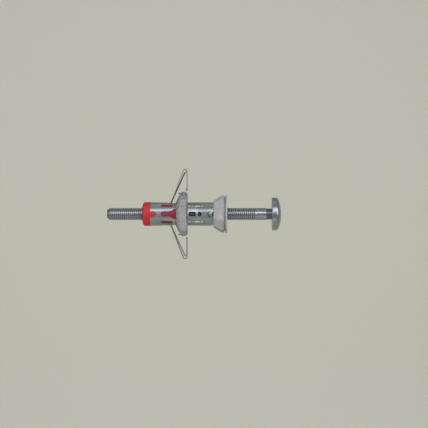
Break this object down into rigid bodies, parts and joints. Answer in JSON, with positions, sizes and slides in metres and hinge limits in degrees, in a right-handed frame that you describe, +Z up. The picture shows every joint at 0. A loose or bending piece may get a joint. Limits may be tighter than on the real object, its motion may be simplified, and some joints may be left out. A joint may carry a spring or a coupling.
{
  "type": "hollow wall anchor",
  "caption": "Hollow wall anchor: a slotted steel sleeve folded out behind the board, with spring bows, a nylon core and collar, and a cross-recess screw.",
  "frame": {"origin": "centre of the collar's outer face, on the screw's axis, in the plane of the board's outer face", "axes": "+X along the screw, out of the wall towards its head; +Z up, through the upper spring bow"},
  "size_m": [0.0845, 0.0214, 0.0442],
  "materials": {
    "plated_sleeve": "bright zinc plate over pressed sheet",
    "plated_screw": "bright zinc plate over rolled thread",
    "insert_steel": "plated",
    "spring_wire": "drawn wire, dull",
    "red_nylon": "moulded, satin",
    "grey_nylon": "moulded, matt"
  },
  "bodies": {
    "anchor": {"folding_sleeve": "plated_sleeve", "end_sleeve": "red_nylon", "thread_nut": "insert_steel", "nylon_core": "grey_nylon", "wall_collar": "grey_nylon"},
    "screw": {"screw": "plated_screw"},
    "upper_bow": {"upper_spring_bow": "spring_wire"},
    "lower_bow": {"lower_spring_bow": "spring_wire"}
  },
  "joints": [
    {"name": "screw_travel", "type": "slide", "parent": "anchor", "child": "screw", "axis": [1, 0, 0], "range_m": [-0.0217, 0.0238]},
    {"name": "upper_bow_swing", "type": "hinge", "parent": "anchor", "child": "upper_bow", "pos_m": [-0.02786, 0, 0.00405], "axis": [0, 1, 0], "range_deg": [-20, 12], "stiffness_Nm_per_rad": 0.001},
    {"name": "lower_bow_swing", "type": "hinge", "parent": "anchor", "child": "lower_bow", "pos_m": [-0.02786, 0, -0.00405], "axis": [0, -1, 0], "range_deg": [-20, 12], "stiffness_Nm_per_rad": 0.001}
  ]
}
